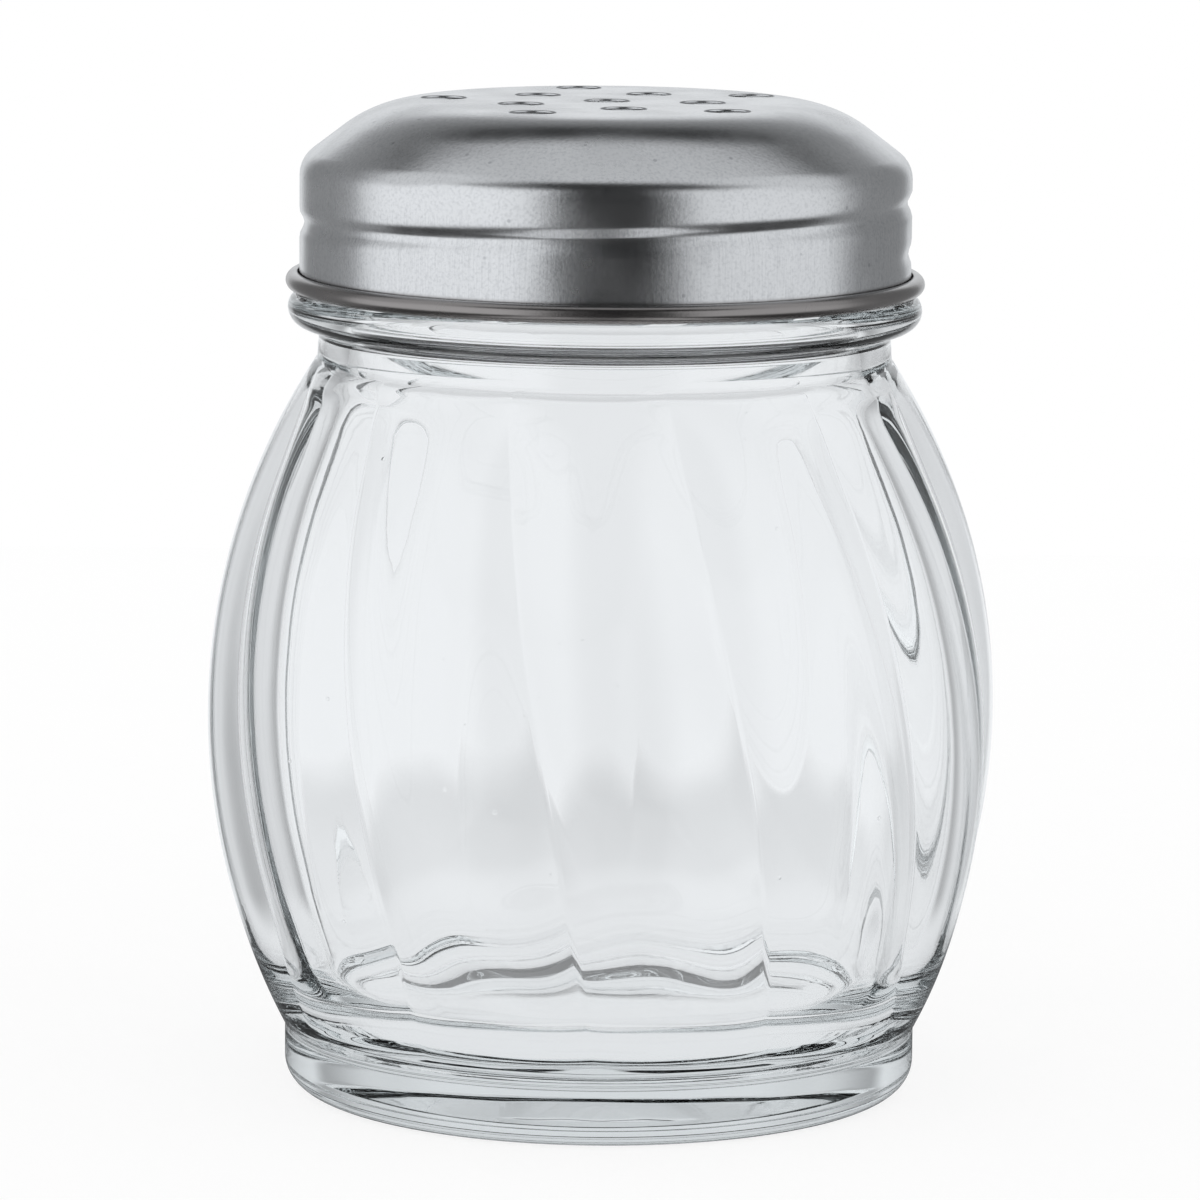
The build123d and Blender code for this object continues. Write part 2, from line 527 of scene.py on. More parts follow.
@dataclass(frozen=True)
class SatinSteel:
    """Satin stainless sheet: a fine grain, faint upright brushing on the skirt and painted shade that darkens
    and browns the curled hem.

    The noise of the grain and of the streaks darkens the sheet over its edge range, up to its share.
    """

    tone: Colour = (0.645, 0.65, 0.66, 1.0)
    dull_tone: Colour = (0.46, 0.467, 0.48, 1.0)
    # painted shade: the dark brownish tone of the curled hem, for its shade under the skirt
    hem_painted_shade: Colour = (0.27, 0.255, 0.25, 1.0)
    hem_top: float = 78.1 * MM
    hem_shade_fade: float = 0.35 * MM
    roughness: Span = (0.2, 0.28)
    cloud_size: float = 7.0 * MM
    cloud_edge: Span = (0.3, 0.7)
    brushed_top: float = 87.0 * MM
    brushed_fade: float = 2.0 * MM
    brushed_radius: float = 28.0 * MM
    streak_across: float = 0.16 * MM
    streak_along: float = 5.0 * MM
    streak_depth: float = 0.0016 * MM
    streak_edge: Span = (0.35, 0.8)
    streak_share: float = 0.4
    grain_size: float = 0.3 * MM
    grain_depth: float = 0.006 * MM
    grain_edge: Span = (0.4, 0.8)
    grain_share: float = 0.5
    speck_spacing: float = 2.2 * MM

    def material(self) -> bpy.types.Material:
        """Builds the steel.

        Returns:
            The material.
        """
        made, g, output = new_material("satin_steel")
        vector = g.node("ShaderNodeTexCoord").outputs["Object"]
        place = g.node("ShaderNodeSeparateXYZ", {0: vector}).outputs
        streaks = self._streaks(g, place)
        grain = g.noise(vector, self.grain_size, 2.0)
        specks = g.group(FLECKS, {"Vector": vector, "Spacing": self.speck_spacing})["Mask"]
        rubbed = g.ramp(grain, *self.grain_edge, 0.0, self.grain_share)
        brushed = g.ramp(streaks, *self.streak_edge, 0.0, self.streak_share)
        marks = g.math("MAXIMUM", g.math("ADD", rubbed, brushed), specks)
        # painted shade: below the hem's top the sheet takes the hem's dark brownish tone
        above = g.ramp(place["Z"], self.hem_top - self.hem_shade_fade, self.hem_top + self.hem_shade_fade)
        relief = g.math("MULTIPLY", streaks, self.streak_depth)
        relief = g.math("MULTIPLY_ADD", grain, self.grain_depth, relief)
        steel = g.node(
            "ShaderNodeBsdfPrincipled",
            {
                "Base Color": g.blend(above, self.hem_painted_shade, g.blend(marks, self.tone, self.dull_tone)),
                "Metallic": 1.0,
                "Roughness": g.ramp(g.noise(vector, self.cloud_size, 4.0), *self.cloud_edge, *self.roughness),
                "Normal": g.node("ShaderNodeBump", {"Height": relief, "Distance": 1.0}).outputs["Normal"],
            },
        )
        g.feed(output.inputs["Surface"], steel.outputs[0])
        return made

    def _streaks(self, g: Graph, place: Sequence[Socket]) -> Socket:
        """Draws fine upright streaks round the skirt, which fade out below the slope.

        Args:
            g: the graph of the material.
            place: X, Y and Z on the lid.

        Returns:
            Their strength.
        """
        arc_length = g.math("MULTIPLY", g.math("ARCTAN2", place["Y"], place["X"]), self.brushed_radius)
        across = g.math("DIVIDE", arc_length, self.streak_across)
        along = g.math("DIVIDE", place["Z"], self.streak_along)
        laid = g.node("ShaderNodeCombineXYZ", {"X": across, "Y": along}).outputs[0]
        noise = g.node("ShaderNodeTexNoise", {"Vector": laid, "Scale": 1.0, "Detail": 2.0, "Roughness": 0.6})
        fade = g.ramp(place["Z"], self.brushed_top - self.brushed_fade, self.brushed_top, 1.0, 0.0)
        return g.math("MULTIPLY", noise.outputs["Fac"], fade)


# ---------------------------------------------------------------- glass jar
@dataclass
class GlassJar:
    """The jar: a round foot, a barrel of twisted lobes, a neck with a bead and a threaded finish."""

    rim_height: float
    foot_radius: float = 30.1 * MM
    foot_height: float = 6.4 * MM
    toe_round: float = 2.8 * MM
    bearing_width: float = 2.6 * MM
    push_up: float = 0.9 * MM
    barrel_height: float = 63.2 * MM
    barrel_foot_radius: float = 30.3 * MM
    belly_radius: float = 37.5 * MM
    belly_height: float = 35.5 * MM
    shoulder_radius: float = 27.4 * MM
    lobe_count: int = 12
    lobe_depth: float = 1.15 * MM
    inner_lobe_depth: float = 0.9 * MM
    lobe_twist: float = 18.0 * DEGREE
    lobe_start: float = -60.0 * DEGREE
    lobe_rise: float = 14.0 * MM
    lobe_fall: float = 10.0 * MM
    shoulder_step: float = 0.24 * MM
    waist_radius: float = 27.0 * MM
    finish_radius: float = 27.4 * MM
    rim_round: float = 1.2 * MM
    mouth_round: float = 1.0 * MM
    bead_radius: float = 29.95 * MM
    bead_low: float = 72.94 * MM
    bead_top: float = 76.14 * MM
    bead_low_round: float = 1.75 * MM
    bead_top_round: float = 1.4 * MM
    mouth_radius: float = 23.9 * MM
    wall: float = 3.2 * MM
    floor_thickness: float = 8.2 * MM
    floor_round: float = 11.0 * MM
    neck_round: float = 13.0 * MM
    thread: Helix = Helix(
        start=-5.0 * DEGREE,
        low=82.4 * MM,
        pitch=4.7 * MM,
        turns=1.12,
        above=1.25 * MM,
        below=1.25 * MM,
        run_out=0.06,
    )
    thread_height: float = 0.72 * MM
    stipple_depth: float = 0.25 * MM
    stipple_width: float = 1.1 * MM
    stipple_around: float = 60.0
    stipple_across: float = 900.0
    valley_crowding: float = 0.25
    segments_per_lobe: int = 30
    step: float = 1.2 * MM
    fine_step: float = 0.35 * MM

    def crest_circle(self) -> tuple[float, float, float]:
        """Circle that the lobe crests follow through the foot, the belly and the neck.

        Returns:
            Its centre's radius and height, and its own radius.
        """
        ax, ay = self.barrel_foot_radius, self.foot_height
        bx, by = self.belly_radius, self.belly_height
        cx, cy = self.shoulder_radius, self.foot_height + self.barrel_height
        span = 2 * (ax * (by - cy) + bx * (cy - ay) + cx * (ay - by))
        a, b, c = ax * ax + ay * ay, bx * bx + by * by, cx * cx + cy * cy
        x = (a * (by - cy) + b * (cy - ay) + c * (ay - by)) / span
        y = (a * (cx - bx) + b * (ax - cx) + c * (bx - ax)) / span
        return x, y, math.hypot(ax - x, ay - y)

    def lobe_share(self, point: Point) -> float:
        """Share of the lobes' full depth: they grow out of the foot and die out below the neck.

        Args:
            point: point of the outline.

        Returns:
            The share, from 0 to 1.
        """
        rise = min(1.0, max(0.0, (point[1] - self.foot_height) / self.lobe_rise))
        fall = min(1.0, max(0.0, (self.foot_height + self.barrel_height - point[1]) / self.lobe_fall))
        return (0.5 - 0.5 * math.cos(rise * math.pi)) * math.sin(fall * math.pi / 2)

    def outline(self) -> Outline:
        """Draws the half section: from the middle of the base up the outside and down the inside.

        Returns:
            The outline.
        """
        made = Outline(("outer_lobes", "inner_lobes", "thread", "stipple"))
        crest_x, crest_z, crest_arc = self.crest_circle()
        bearing_in = self.foot_radius - self.toe_round - self.bearing_width
        bearing_out = self.foot_radius - self.toe_round
        dome = (bearing_in ** 2 + self.push_up ** 2) / (2 * self.push_up)
        dome_end = math.degrees(math.asin(bearing_in / dome))
        neck = self.foot_height + self.barrel_height
        made.add(arc((0.0, self.push_up - dome), dome, 90.0, 90.0 - dome_end, 3 * self.step))
        rough_end = bearing_in + self.stipple_width
        made.add(straight((bearing_in, 0.0), (rough_end, 0.0), self.fine_step), stipple=1.0)
        made.add(straight((rough_end, 0.0), (bearing_out, 0.0), self.fine_step))
        made.add(arc((bearing_out, self.toe_round), self.toe_round, -90.0, 0.0, self.fine_step))
        toe, foot = (self.foot_radius, self.toe_round), (self.foot_radius, self.foot_height)
        made.add(straight(toe, foot, self.step))
        low = math.degrees(math.atan2(self.foot_height - crest_z, self.barrel_foot_radius - crest_x))
        high = math.degrees(math.atan2(neck - crest_z, self.shoulder_radius - crest_x))
        made.add(arc((crest_x, crest_z), crest_arc, low, high, self.step), outer_lobes=self.lobe_share)
        low_centre = (self.bead_radius - self.bead_low_round, self.bead_low + self.bead_low_round)
        top_centre = (self.bead_radius - self.bead_top_round, self.bead_top - self.bead_top_round)
        shoulder = (self.shoulder_radius - self.shoulder_step, neck)
        made.add(straight(shoulder, (self.waist_radius, self.bead_low), self.step))
        made.add(arc(low_centre, self.bead_low_round, -90.0, 0.0, self.fine_step))
        made.add(arc(top_centre, self.bead_top_round, 0.0, 90.0, self.fine_step))
        rim_centre = (self.finish_radius - self.rim_round, self.rim_height - self.rim_round)
        mouth_centre = (self.mouth_radius + self.mouth_round, self.rim_height - self.mouth_round)
        finish_foot = (self.finish_radius, self.bead_top)
        made.add(straight(finish_foot, (self.finish_radius, rim_centre[1]), self.fine_step), thread=1.0)
        made.add(arc(rim_centre, self.rim_round, 0.0, 90.0, self.fine_step))
        made.add(arc(mouth_centre, self.mouth_round, 90.0, 180.0, self.fine_step))
        self._add_inside(made, (crest_x, crest_z), crest_arc - self.wall)
        return made

    def _add_inside(self, made: Outline, centre: Point, inside_arc: float) -> None:
        """Adds the inside, which is one circle between the roundings at the neck and at the floor.

        Args:
            made: the outline so far, which ends at the top of the mouth.
            centre: centre of the inside's circle.
            inside_arc: its radius.
        """
        neck_x = self.mouth_radius + self.neck_round
        neck_z = centre[1] + math.sqrt((inside_arc + self.neck_round) ** 2 - (neck_x - centre[0]) ** 2)
        neck_angle = math.degrees(math.atan2(neck_z - centre[1], neck_x - centre[0]))
        floor_z = self.floor_thickness + self.floor_round
        floor_x = centre[0] + math.sqrt((inside_arc - self.floor_round) ** 2 - (floor_z - centre[1]) ** 2)
        floor_angle = math.degrees(math.atan2(floor_z - centre[1], floor_x - centre[0]))
        top = (self.mouth_radius, self.rim_height - self.mouth_round)
        made.add(straight(top, (self.mouth_radius, neck_z), 2 * self.step))
        made.add(arc((neck_x, neck_z), self.neck_round, 180.0, 180.0 + neck_angle, self.step / 2))
        wall = arc(centre, inside_arc, neck_angle, floor_angle, self.step)
        made.add(wall, inner_lobes=self.lobe_share)
        floor = arc((floor_x, floor_z), self.floor_round, floor_angle, -90.0, self.step / 2)
        made.add(floor, inner_lobes=self.lobe_share)
        made.add(straight((floor_x, self.floor_thickness), (0.0, self.floor_thickness), 2 * self.step))

    def inputs(self) -> Inputs:
        """Its sizes, under the names that its node tree gives them.

        Returns:
            The sizes by name.
        """
        return {
            "Segments": self.lobe_count * self.segments_per_lobe,
            "Lobes": self.lobe_count,
            "Outer Depth": self.lobe_depth,
            "Inner Depth": self.inner_lobe_depth,
            "Twist Rate": self.lobe_twist / self.barrel_height,
            "Twist Start": self.lobe_start,
            "Foot Height": self.foot_height,
            "Thread Height": self.thread_height,
            "Stipple Depth": self.stipple_depth,
            "Stipple Around": self.stipple_around,
            "Stipple Across": self.stipple_across,
            "Valley Crowding": self.valley_crowding,
            **self.thread.inputs(),
        }

    def tree(self) -> Tree:
        """Builds the tree that turns the outline and presses lobes, thread and stippling into it.

        Returns:
            The tree.
        """
        sockets = {"Outline": "NodeSocketGeometry", **self.inputs(), "Material": "NodeSocketMaterial"}
        g = Group("lobed jar", "GeometryNodeTree", sockets, ["Mesh"])
        mesh = g.turned(g.given["Outline"], g.given["Segments"])
        azimuth, height = g.named("azimuth"), g.named("height")
        # place within a lobe, from -1 over the crest at 0 to 1, with the rows drawn closer to the valleys
        turn = g.math("MULTIPLY", g.math("DIVIDE", azimuth, math.tau), g.given["Lobes"])
        even = g.math("MULTIPLY_ADD", g.math("FRACT", turn), 2.0, -1.0)
        crowd = g.math("MULTIPLY", g.given["Valley Crowding"], -1.0)
        pull = g.math("MULTIPLY_ADD", g.math("MULTIPLY", even, even), crowd, g.math("SUBTRACT", 1.0, crowd))
        side = g.math("MULTIPLY", even, pull)
        lobe = g.math("ADD", g.math("FLOOR", turn), g.math("MULTIPLY_ADD", side, 0.5, 0.5))
        spread = g.math("MULTIPLY", g.math("DIVIDE", lobe, g.given["Lobes"]), math.tau)
        # outside the valleys are sharp, and inside they are rounded
        sharp = g.math("MULTIPLY", g.math("POWER", g.math("ABSOLUTE", side), 2.0), g.given["Outer Depth"])
        soft = g.math("MULTIPLY_ADD", g.math("COSINE", g.math("MULTIPLY", side, math.pi)), -0.5, 0.5)
        outer = g.math("MULTIPLY", sharp, g.named("outer_lobes"))
        inner = g.math("MULTIPLY", g.math("MULTIPLY", soft, g.given["Inner Depth"]), g.named("inner_lobes"))
        rise = g.math("SUBTRACT", height, g.given["Foot Height"])
        twisted = g.math("SUBTRACT", spread, g.math("MULTIPLY", rise, g.given["Twist Rate"]))
        turned = g.math("ADD", twisted, g.given["Twist Start"])
        on_thread = g.named("thread")
        rib = g.math("MULTIPLY", g.helix(self.thread), on_thread)
        radius = g.math("SUBTRACT", g.named("reach"), g.math("ADD", outer, inner))
        radius = g.math("MULTIPLY_ADD", rib, g.given["Thread Height"], radius)
        raised = g.math("ADD", height, self._raised_marks(g, azimuth, radius))
        # the finish keeps its own azimuth, so that the thread starts where it is meant to
        places = {
            "Switch": g.math("GREATER_THAN", on_thread, 0.0),
            "False": g.round_about(radius, turned, raised),
            "True": g.round_about(radius, azimuth, raised),
        }
        chosen = g.node("GeometryNodeSwitch", places, input_type="VECTOR").outputs[0]
        g.dress(g.placed(mesh, chosen))
        return g.tree

    def _raised_marks(self, g: Group, azimuth: Socket, radius: Socket) -> Socket:
        """Draws the short raised marks on the bearing ring.

        Args:
            g: the jar's tree.
            azimuth: angle round the axis.
            radius: distance from it.

        Returns:
            Their height.
        """
        around = g.math("MULTIPLY", azimuth, g.given["Stipple Around"])
        across = g.math("MULTIPLY", radius, g.given["Stipple Across"])
        laid = g.node("ShaderNodeCombineXYZ", {"X": around, "Y": across}).outputs[0]
        marks = g.noise(laid, 1.0, 1.0)
        return g.math("MULTIPLY", g.math("MULTIPLY", marks, g.named("stipple")), g.given["Stipple Depth"])

    def build(self, glass: bpy.types.Material) -> bpy.types.Object:
        """Builds the jar.

        Args:
            glass: its material.

        Returns:
            The finished object.
        """
        values = {**self.inputs(), "Material": glass}
        return bake(self.outline().to_object("jar_of_glass"), self.tree(), values)


# ---------------------------------------------------------------- lid
@dataclass
class ShakerLid:
    """The lid: one piece of sheet with eleven holes, a sloped shoulder, a rolled thread and a curled hem.

    A hair is the small gap that keeps faces and places apart that would fall together.
    """

    top: float
    hem: float
    sheet: float = 0.4 * MM
    skirt_radius: float = 28.87 * MM
    slope_angle: float = 37.3
    slope_width: float = 7.4 * MM
    top_round: float = 12.4 * MM
    edge_round: float = 2.9 * MM
    curl_radius: float = 0.85 * MM
    curl_gap: float = 0.25 * MM
    groove: Helix = Helix(
        start=-30.0 * DEGREE,
        low=79.9 * MM,
        pitch=4.7 * MM,
        turns=1.3,
        above=1.25 * MM,
        below=1.35 * MM,
        run_out=0.12,
    )
    groove_depth: float = 0.48 * MM
    hole_radius: float = 2.2 * MM
    hole_edge_round: float = 0.16 * MM
    hair: float = 0.01 * MM
    ring_holes: int = 5
    inner_ring: float = 9.1 * MM
    inner_ring_start: float = 64.0 * DEGREE
    outer_ring: float = 15.55 * MM
    outer_ring_start: float = 28.0 * DEGREE
    segments: int = 320
    hole_segments: int = 48
    step: float = 0.5 * MM
    fine_step: float = 0.16 * MM

    def middle_line(self) -> tuple[list[Point], list[Point]]:
        """Middle of the sheet, from the axis to the end of the curl.

        Returns:
            Its points, and the outward direction of the sheet at each of them.
        """
        half = self.sheet / 2
        slope = math.tan(self.slope_angle * DEGREE)
        middle_top = self.top - half
        turn = self.slope_angle / 2 * DEGREE
        edge_turn = (90.0 - self.slope_angle) / 2 * DEGREE
        corner = self.skirt_radius - self.slope_width - half * math.tan(turn)
        side = self.skirt_radius - half
        edge = middle_top - (side - corner) * slope
        top_middle = self.top_round - half
        edge_middle = self.edge_round - half
        top_centre = (corner - top_middle * math.tan(turn), middle_top - top_middle)
        edge_centre = (side - edge_middle, edge - edge_middle * math.tan(edge_turn))
        curl_middle = self.curl_radius - half
        curl_centre = (self.skirt_radius + self.curl_radius - self.sheet, self.hem + self.curl_radius)
        slit = math.degrees(math.acos((self.skirt_radius + self.curl_gap - curl_centre[0]) / curl_middle))
        up = 90.0 - self.slope_angle
        runs = [
            (straight((0.0, middle_top), (top_centre[0], middle_top), 4 * self.step), (90.0, 90.0)),
            (arc(top_centre, top_middle, 90.0, up, self.step), (90.0, up)),
            (arc(edge_centre, edge_middle, up, 0.0, self.step), (up, 0.0)),
            (straight((side, edge_centre[1]), (side, curl_centre[1]), self.step), (0.0, 0.0)),
            (arc(curl_centre, curl_middle, 180.0, 360.0 + slit, self.fine_step), (0.0, 180.0 + slit)),
        ]
        points: list[Point] = []
        outward: list[Point] = []
        for run, (first, last) in runs:
            for i, point in enumerate(run):
                if points and math.dist(point, points[-1]) < SAME_PLACE:
                    continue
                angle = (first + (last - first) * i / (len(run) - 1)) * DEGREE
                points.append(point)
                outward.append((math.cos(angle), math.sin(angle)))
        return points, outward

    def outline(self) -> Outline:
        """Draws the section of the sheet: out along its underside and back over its top.

        Returns:
            The outline.
        """
        made = Outline(("groove",))
        points, outward = self.middle_line()
        half = self.sheet / 2
        lowest = self.hem + 2 * self.curl_radius

        def share(point: Point) -> float:
            """The groove is only in the skirt, above the curl."""
            return 1.0 if point[0] < self.skirt_radius + self.hair and point[1] > lowest else 0.0

        upper = [(p[0] + n[0] * half, p[1] + n[1] * half) for p, n in zip(points, outward)]
        under = [(p[0] - n[0] * half, p[1] - n[1] * half) for p, n in zip(points, outward)]
        made.add(under, groove=share)
        made.add(upper[::-1], groove=share)
        return made

    def cutter_outline(self) -> Outline:
        """Draws the punch of one hole, flared where it leaves the edge of the hole rounded.

        Returns:
            The outline.
        """
        made = Outline(())
        flare = self.hole_radius + self.hole_edge_round
        low, high = self.top - 3 * self.sheet, self.top + self.sheet
        made.add([(0.0, low), (self.hole_radius, low)])
        centre = (flare, self.top - self.hole_edge_round)
        made.add(arc(centre, self.hole_edge_round, 180.0, 90.0, self.hole_edge_round / 4))
        made.add([(flare + self.sheet, self.top + self.hair), (flare + self.sheet, high), (0.0, high)])
        return made

    def inputs(self) -> Inputs:
        """Its sizes, under the names that its node tree gives them.

        Returns:
            The sizes by name.
        """
        return {
            "Segments": self.segments,
            "Hole Segments": self.hole_segments,
            "Ring Holes": self.ring_holes,
            "Inner Ring": self.inner_ring,
            "Inner Start": self.inner_ring_start,
            "Outer Ring": self.outer_ring,
            "Outer Start": self.outer_ring_start,
            "Groove Depth": self.groove_depth,
            **self.groove.inputs(),
        }

    def tree(self) -> Tree:
        """Builds the tree that turns the sheet, rolls the thread into it and punches the holes.

        Returns:
            The tree.
        """
        sockets = {
            "Outline": "NodeSocketGeometry",
            "Punch": "NodeSocketObject",
            **self.inputs(),
            "Material": "NodeSocketMaterial",
        }
        g = Group("pierced lid", "GeometryNodeTree", sockets, ["Mesh"])
        mesh = g.turned(g.given["Outline"], g.given["Segments"])
        rolled = g.math("MULTIPLY", g.helix(self.groove), g.named("groove"))
        radius = g.math("SUBTRACT", g.named("reach"), g.math("MULTIPLY", rolled, g.given["Groove Depth"]))
        mesh = g.placed(mesh, g.round_about(radius, g.named("azimuth"), g.named("height")))
        middle = g.node("GeometryNodeMeshLine", {"Count": 1}).outputs["Mesh"]
        punch = g.node("GeometryNodeObjectInfo", {"Object": g.given["Punch"]}).outputs["Geometry"]
        punch = g.turned(punch, g.given["Hole Segments"])
        holes = g.node("GeometryNodeJoinGeometry")
        for places in (middle, self._ring(g, "Inner"), self._ring(g, "Outer")):
            g.feed(holes.inputs[0], places)
        punches = g.node("GeometryNodeInstanceOnPoints", {"Points": holes.outputs[0], "Instance": punch})
        cut = g.node("GeometryNodeMeshBoolean", {"Mesh 1": mesh}, operation="DIFFERENCE", solver="MANIFOLD")
        real = g.node("GeometryNodeRealizeInstances", {0: punches.outputs[0]}).outputs[0]
        g.feed(cut.inputs["Mesh 2"], real)
        g.dress(cut.outputs["Mesh"])
        return g.tree

    def _ring(self, g: Group, name: str) -> Socket:
        """Places the points of a ring of holes.

        Args:
            g: the lid's tree.
            name: first word of the inputs that lay the ring out.

        Returns:
            The points, as a mesh.
        """
        size = {"Vertices": g.given["Ring Holes"], "Radius": g.given[f"{name} Ring"]}
        circle = g.node("GeometryNodeMeshCircle", size).outputs["Mesh"]
        turn = g.node("ShaderNodeCombineXYZ", {"Z": g.given[f"{name} Start"]}).outputs[0]
        return g.node("GeometryNodeTransform", {"Geometry": circle, "Rotation": turn}).outputs["Geometry"]

    def build(self, steel: bpy.types.Material) -> bpy.types.Object:
        """Builds the lid.

        Args:
            steel: its material.

        Returns:
            The finished object.
        """
        punch = self.cutter_outline().to_object("hole_punch")
        values = {**self.inputs(), "Punch": punch, "Material": steel}
        made = bake(self.outline().to_object("lid_of_sheet"), self.tree(), values)
        bpy.data.objects.remove(punch)
        return made


# ---------------------------------------------------------------- studio
class Rig(Enum):
    """How a panel is hung: round the object, or over it on a bar from left to right."""

    AROUND = "around"
    OVERHEAD = "overhead"


@dataclass(frozen=True)
class Panel:
    """A soft panel of light in the surroundings, in degrees.

    Round the object, across is the azimuth from the backdrop to the right and up is the elevation.
    Overhead, across is the tilt from straight up towards the backdrop and up is the angle to the right.
    The strength is what mirrors show, and through is what glass shows.
    """

    across: float
    half_width: float
    up: float
    half_height: float
    softness: float
    strength: float
    through: float
    rig: Rig = Rig.AROUND


def soft_panel() -> Tree:
    """Shader group that gives the share of a soft-edged panel in a direction of the surroundings.

    Returns:
        The group.
    """
    inputs = {
        "Across": 0.0,
        "Up": 0.0,
        "Centre Across": 0.0,
        "Half Width": 1.0,
        "Centre Up": 0.0,
        "Half Height": 1.0,
        "Softness": 0.1,
    }
    g = Group("soft panel", "ShaderNodeTree", inputs, ["Share"])
    off = g.math("SUBTRACT", g.given["Across"], g.given["Centre Across"])
    across = g.math("ABSOLUTE", g.math("WRAP", off, math.pi, -math.pi))
    up = g.math("ABSOLUTE", g.math("SUBTRACT", g.given["Up"], g.given["Centre Up"]))
    share = 1.0
    for distance, size in ((across, g.given["Half Width"]), (up, g.given["Half Height"])):
        inner = g.math("SUBTRACT", size, g.given["Softness"])
        outer = g.math("ADD", size, g.given["Softness"])
        share = g.math("MULTIPLY", share, g.ramp(distance, inner, outer, 1.0, 0.0))
    g.feed(g.result["Share"], share)
    return g.tree


@dataclass
class Studio:
    """White sweep, soft panels round the object, and the camera of the photograph.

    What mirrors or refracts the sweep sees a small lit table instead, and the panels beyond its edge. The
    table carries painted light: for mirrors a painted shadow round the jar's foot and painted shade down its
    middle, and for glass a painted shadow that darkens it further from the jar. Each fade of the table runs
    over a range that is a share of its reach, its half width or the reach of its painted shadow.
    """

    camera_distance: float = 652.0 * MM
    camera_height: float = 147.0 * MM
    camera_pitch: float = 8.75
    camera_roll: float = 0.5
    focal_pixels: float = 6935.0
    image_pixels: float = 1200.0
    axis_offset_pixels: float = 2.5
    sensor: float = 36.0
    clip: Span = (0.05, 20.0)
    light_turns: int = 24
    cool_tone: Colour = (0.947, 0.969, 0.99, 1.0)
    floor_size: float = 0.7
    floor_gap: float = 0.02 * MM
    floor_light: float = 0.8
    paper_grain: float = 25.0 * MM
    paper_edge: Span = (0.3, 0.7)
    paper_roughness: Span = (0.4, 0.6)
    table_reach: float = 165.0 * MM
    table_half_width: float = 62.0 * MM
    table_end: Span = (0.85, 1.1)
    table_side: Span = (0.9, 1.15)
    # painted shadow: glass sees the table at the first level near the jar and darker, at the second, further
    # out
    table_through_shadow: Span = (0.88, 0.72)
    table_through_fade: Span = (0.3, 0.85)
    # painted shade: mirrors see the table dark down its middle and lighter towards its sides
    table_mirrored_shade: Span = (0.2, 0.9)
    table_mirrored_fade: Span = (0.0, 0.65)
    # painted shadow of the jar on the table round its foot, as mirrors see it
    table_painted_shadow: float = 0.15
    table_dark_reach: float = 72.0 * MM
    table_dark_fade: Span = (0.8, 1.2)
    ambient: float = 0.03
    ambient_through: float = 0.78
    panels: tuple[Panel, ...] = (
        Panel(0.0, 76.0, 0.0, 40.0, 8.0, 0.3, 0.45),
        Panel(0.0, 41.0, 4.0, 36.0, 9.0, 0.3, 0.8),
        Panel(-67.0, 14.0, 4.0, 36.0, 4.0, 0.3, 1.0),
        Panel(67.0, 14.0, 4.0, 36.0, 4.0, 0.3, 0.95),
        Panel(0.0, 24.0, 0.0, 25.0, 5.0, 0.95, 0.89),
        Panel(-117.0, 41.0, 10.0, 34.0, 8.0, 1.18, 1.1),
        Panel(116.0, 36.0, 10.0, 34.0, 10.0, 1.0, 1.0),
        Panel(5.5, 18.5, 0.0, 70.0, 7.0, 0.74, 0.8, Rig.OVERHEAD),
        Panel(5.5, 24.0, -45.0, 22.0, 8.0, 0.86, 0.9, Rig.OVERHEAD),
        Panel(5.5, 24.0, 45.0, 22.0, 8.0, 0.86, 0.9, Rig.OVERHEAD),
    )

    def build(self) -> None:
        """Builds the surroundings, which give all the light, the floor and the camera."""
        scene = bpy.context.scene
        scene.view_settings.view_transform = "Standard"
        # light that is trapped in thick glass takes many turns before it leaves
        scene.cycles.max_bounces = self.light_turns
        scene.cycles.glossy_bounces = self.light_turns
        scene.cycles.transmission_bounces = self.light_turns
        self._world(scene)
        self._floor()
        self._camera(scene)

    def _world(self, scene: bpy.types.Scene) -> None:
        """White for the camera and plain for soft light, with panels for what mirrors or refracts.

        Args:
            scene: the scene that it lights.
        """
        world = bpy.data.worlds.new("studio")
        world.use_nodes = True
        world.node_tree.nodes.clear()
        world.cycles.sampling_method = "NONE"
        g = Graph(world.node_tree)
        way = g.node("ShaderNodeSeparateXYZ", {0: g.node("ShaderNodeTexCoord").outputs["Generated"]}).outputs
        around = (g.math("ARCTAN2", way["X"], way["Y"]), g.math("ARCSINE", way["Z"]))
        overhead = (g.math("ARCTAN2", way["Y"], way["Z"]), g.math("ARCSINE", way["X"]))
        panel_tree = soft_panel()
        path = g.node("ShaderNodeLightPath").outputs
        bent = path["Is Transmission Ray"]
        light = g.mix(bent, self.ambient, self.ambient_through)
        for panel in self.panels:
            across, up = around if panel.rig is Rig.AROUND else overhead
            inputs = {
                "Across": across,
                "Up": up,
                "Centre Across": panel.across * DEGREE,
                "Half Width": panel.half_width * DEGREE,
                "Centre Up": panel.up * DEGREE,
                "Half Height": panel.half_height * DEGREE,
                "Softness": panel.softness * DEGREE,
            }
            level = g.mix(bent, panel.strength, panel.through)
            light = g.mix(g.group(panel_tree, inputs)["Share"], light, level)
        shaped = g.math("MAXIMUM", path["Is Glossy Ray"], bent)
        tone = g.blend(shaped, (1.0, 1.0, 1.0, 1.0), self.cool_tone)
        inputs = {"Color": tone, "Strength": g.mix(shaped, 1.0, light)}
        background = g.node("ShaderNodeBackground", inputs)
        g.feed(g.node("ShaderNodeOutputWorld").inputs["Surface"], background.outputs[0])
        scene.world = world

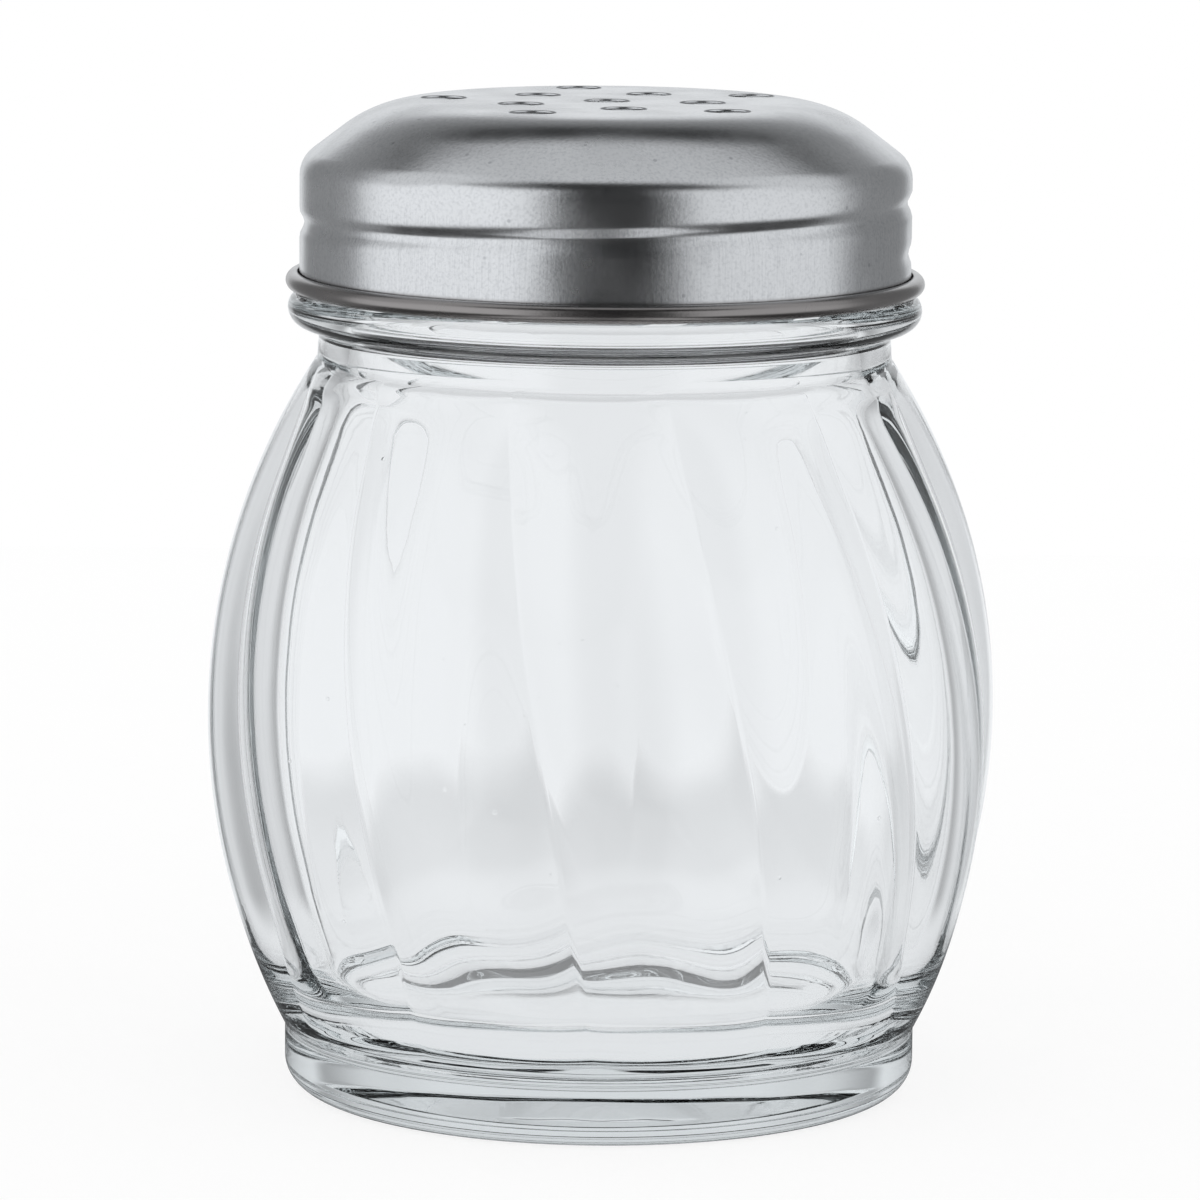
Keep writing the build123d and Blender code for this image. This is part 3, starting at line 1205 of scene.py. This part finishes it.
    def _floor(self) -> None:
        """Lays the sweep: paper for the camera and soft light, the table for mirrors and glass."""
        half = self.floor_size / 2
        mesh = bpy.data.meshes.new("floor")
        corners = [(-half, -half), (half, -half), (half, half), (-half, half)]
        mesh.from_pydata([(x, y, -self.floor_gap) for x, y in corners], [], [(0, 1, 2, 3)])
        made, g, output = new_material("white_sweep")
        place = g.node("ShaderNodeTexCoord").outputs["Object"]
        path = g.node("ShaderNodeLightPath").outputs
        bent = path["Is Transmission Ray"]
        indirect = g.math("MAXIMUM", path["Is Glossy Ray"], bent)
        seen = {0: indirect, 1: self._paper(g, place), 2: self._table(g, place, bent)}
        g.feed(output.inputs["Surface"], g.node("ShaderNodeMixShader", seen).outputs[0])
        mesh.materials.append(made)
        floor = bpy.data.objects.new("floor", mesh)
        bpy.context.scene.collection.objects.link(floor)

    def _paper(self, g: Graph, place: Socket) -> Socket:
        """White paper that is lit from within and keeps a soft shadow.

        Args:
            g: the graph of its material.
            place: position on the sweep.

        Returns:
            Its shader.
        """
        shade = 1 - self.floor_light
        tone = g.node("ShaderNodeCombineXYZ", {0: shade, 1: shade, 2: shade}).outputs[0]
        roughness = g.ramp(g.noise(place, self.paper_grain, 3.0), *self.paper_edge, *self.paper_roughness)
        diffuse = g.node("ShaderNodeBsdfDiffuse", {"Color": tone, "Roughness": roughness})
        glow = g.node("ShaderNodeEmission", {"Color": (1.0, 1.0, 1.0, 1.0), "Strength": self.floor_light})
        return g.node("ShaderNodeAddShader", {0: diffuse.outputs[0], 1: glow.outputs[0]}).outputs[0]

    def _table(self, g: Graph, place: Socket, bent: Socket) -> Socket:
        """The lit table, which is clear beyond its edge, with painted shadow round the jar and painted shade
        down its middle.

        Args:
            g: the graph of its material.
            place: position on the sweep.
            bent: 1 where it is seen through glass, 0 where it is mirrored.

        Returns:
            Its shader.
        """
        def fade(off: Socket, size: float, span: Span, start: float = 0.0, end: float = 1.0) -> Socket:
            """Goes from start to end over a range of a size."""
            return g.ramp(off, span[0] * size, span[1] * size, start, end)

        reach = g.node("ShaderNodeVectorMath", {0: place}, operation="LENGTH").outputs["Value"]
        side = g.math("ABSOLUTE", g.node("ShaderNodeSeparateXYZ", {0: place}).outputs["X"])
        # painted shadow: what glass sees of the table darkens further from the jar
        through = fade(reach, self.table_reach, self.table_through_fade, *self.table_through_shadow)
        # painted shade: the table is darker down its middle for mirrors
        mirrored = fade(side, self.table_half_width, self.table_mirrored_fade, *self.table_mirrored_shade)
        # painted shadow: mirrors see the table dark round the jar's foot and lighter further out
        lit = fade(reach, self.table_dark_reach, self.table_dark_fade, self.table_painted_shadow)
        level = g.mix(bent, g.math("MULTIPLY", mirrored, lit), through)
        table = g.node("ShaderNodeEmission", {"Color": self.cool_tone, "Strength": level})
        past_end = fade(reach, self.table_reach, self.table_end)
        past_side = fade(side, self.table_half_width, self.table_side)
        clear = g.node("ShaderNodeBsdfTransparent")
        parts = {0: g.math("MAXIMUM", past_end, past_side), 1: table.outputs[0], 2: clear.outputs[0]}
        return g.node("ShaderNodeMixShader", parts).outputs[0]

    def _camera(self, scene: bpy.types.Scene) -> None:
        """Places the camera, whose sizes were fitted to the photograph.

        Args:
            scene: the scene that it looks at.
        """
        data = bpy.data.cameras.new("camera")
        data.sensor_width = self.sensor
        data.lens = self.sensor * self.focal_pixels / self.image_pixels
        data.shift_x = -self.axis_offset_pixels / self.image_pixels
        data.clip_start, data.clip_end = self.clip
        camera = bpy.data.objects.new("camera", data)
        camera.location = (0.0, -self.camera_distance, self.camera_height)
        # the roll about the camera's own axis comes first, then the tilt from looking straight down
        camera.rotation_mode = "ZYX"
        camera.rotation_euler = ((90.0 - self.camera_pitch) * DEGREE, 0.0, self.camera_roll * DEGREE)
        scene.collection.objects.link(camera)
        scene.camera = camera


def main() -> None:
    """Builds the shaker and its studio."""
    logging.basicConfig(level=logging.INFO, format="%(message)s")
    jar_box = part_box("glass_jar")
    lid_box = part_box("lid")
    jar = GlassJar(rim_height=jar_box[1][2])
    lid = ShakerLid(top=lid_box[1][2], hem=lid_box[0][2])
    pieces = [
        (jar.build(ClearGlass().material()), "jar", "glass_jar", "glass"),
        (lid.build(SatinSteel().material()), "lid", "lid", "steel"),
    ]
    for piece, body, node, slot in pieces:
        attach(piece, body)
        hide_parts(node)
        log.info("%s rides on %s: %d faces", piece.name, body, len(piece.data.polygons))
    Studio().build()


if __name__ == "__main__":
    main()
